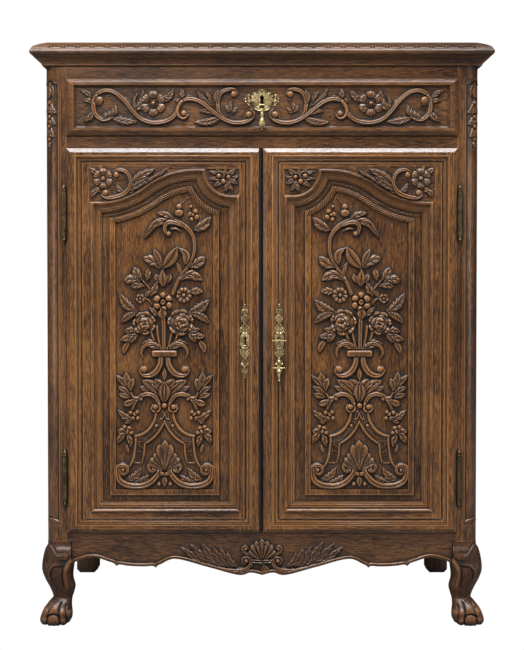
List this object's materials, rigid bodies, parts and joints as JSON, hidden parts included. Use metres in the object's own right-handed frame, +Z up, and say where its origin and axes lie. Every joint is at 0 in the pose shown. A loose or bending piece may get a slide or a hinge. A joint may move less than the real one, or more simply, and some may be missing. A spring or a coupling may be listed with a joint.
{
  "type": "two-door cabinet",
  "caption": "Carved oak cabinet with a drawer above a pair of arched panel doors, shaped apron, cabriole front legs and brass fittings.",
  "frame": {"origin": "centre of the footprint's bounding box at floor level", "axes": "+X to the viewer's right seen from the front, -Y out of the front, +Z up"},
  "size_m": [1.096, 0.52, 1.39],
  "materials": {
    "oak_case": "old wax polish",
    "oak_dark": "old wax polish, darkened",
    "oak_door": "old wax polish",
    "oak_inside": "unpolished",
    "brass": "aged, polished on the high points",
    "iron": "dark, smooth"
  },
  "bodies": {
    "case": {"top_board": "oak_case", "cornice_front": "oak_case", "cornice_left": "oak_case", "cornice_right": "oak_case", "frieze_rail": "oak_case", "drawer_rail": "oak_case", "apron": "oak_dark", "post_front_left": "oak_case", "post_front_right": "oak_case", "leg_front_left": "oak_dark", "leg_front_right": "oak_dark", "post_back_left": "oak_dark", "post_back_right": "oak_dark", "side_top_rail_left": "oak_case", "side_top_rail_right": "oak_case", "side_bottom_rail_left": "oak_case", "side_bottom_rail_right": "oak_case", "side_panel_left": "oak_case", "side_panel_right": "oak_case", "back_rails": "oak_inside", "back_boards": "oak_inside", "bottom_boards": "oak_inside", "shelf_lower": "oak_inside", "shelf_upper": "oak_inside", "shelf_cleats": "oak_inside", "dust_board": "oak_inside", "drawer_runners": "oak_inside", "drawer_kickers": "oak_inside", "drawer_stops": "oak_inside", "hinge_pins_left": "brass", "hinge_pins_right": "brass"},
    "drawer": {"drawer_front": "oak_case", "drawer_side_left": "oak_inside", "drawer_side_right": "oak_inside", "drawer_back": "oak_inside", "drawer_bottom": "oak_inside", "drawer_escutcheon": "brass", "drawer_lock_case": "iron"},
    "door_left": {"door_left_hinge_stile": "oak_door", "door_left_lock_stile": "oak_door", "door_left_top_rail": "oak_door", "door_left_bottom_rail": "oak_door", "door_left_panel": "oak_door", "door_left_escutcheon": "brass", "door_left_hinge_barrels": "brass", "flush_bolt_plates": "brass"},
    "door_right": {"door_right_hinge_stile": "oak_door", "door_right_lock_stile": "oak_door", "door_right_top_rail": "oak_door", "door_right_bottom_rail": "oak_door", "door_right_panel": "oak_door", "door_right_escutcheon": "brass", "door_right_hinge_barrels": "brass", "door_lock_case": "iron"},
    "drawer_pull": {"drawer_pull": "brass"},
    "door_pull": {"door_pull": "brass"},
    "drawer_lock_bolt": {"drawer_lock_bolt": "brass"},
    "door_lock_bolt": {"door_lock_bolt": "brass"},
    "flush_bolt_upper": {"flush_bolt_upper": "iron"},
    "flush_bolt_lower": {"flush_bolt_lower": "iron"}
  },
  "joints": [
    {"name": "drawer_slide", "type": "slide", "parent": "case", "child": "drawer", "axis": [0, -1, 0], "range_m": [0, 0.33]},
    {"name": "door_left_hinge", "type": "hinge", "parent": "case", "child": "door_left", "pos_m": [-0.471, -0.2354, 0.68], "axis": [0, 0, -1], "range_deg": [0, 115]},
    {"name": "door_right_hinge", "type": "hinge", "parent": "case", "child": "door_right", "pos_m": [0.471, -0.2354, 0.68], "axis": [0, 0, 1], "range_deg": [0, 115]},
    {"name": "drawer_pull_swing", "type": "hinge", "parent": "drawer", "child": "drawer_pull", "pos_m": [0, -0.2505, 1.226], "axis": [-1, 0, 0], "range_deg": [0, 80]},
    {"name": "door_pull_swing", "type": "hinge", "parent": "door_right", "child": "door_pull", "pos_m": [0.0405, -0.248, 0.68], "axis": [-1, 0, 0], "range_deg": [0, 80]},
    {"name": "drawer_lock_bolt_slide", "type": "slide", "parent": "drawer", "child": "drawer_lock_bolt", "axis": [0, 0, 1], "range_m": [0, 0.008]},
    {"name": "door_lock_bolt_slide", "type": "slide", "parent": "door_right", "child": "door_lock_bolt", "axis": [-1, 0, 0], "range_m": [0, 0.01]},
    {"name": "flush_bolt_upper_slide", "type": "slide", "parent": "door_left", "child": "flush_bolt_upper", "axis": [0, 0, 1], "range_m": [0, 0.014]},
    {"name": "flush_bolt_lower_slide", "type": "slide", "parent": "door_left", "child": "flush_bolt_lower", "axis": [0, 0, -1], "range_m": [0, 0.014]}
  ]
}
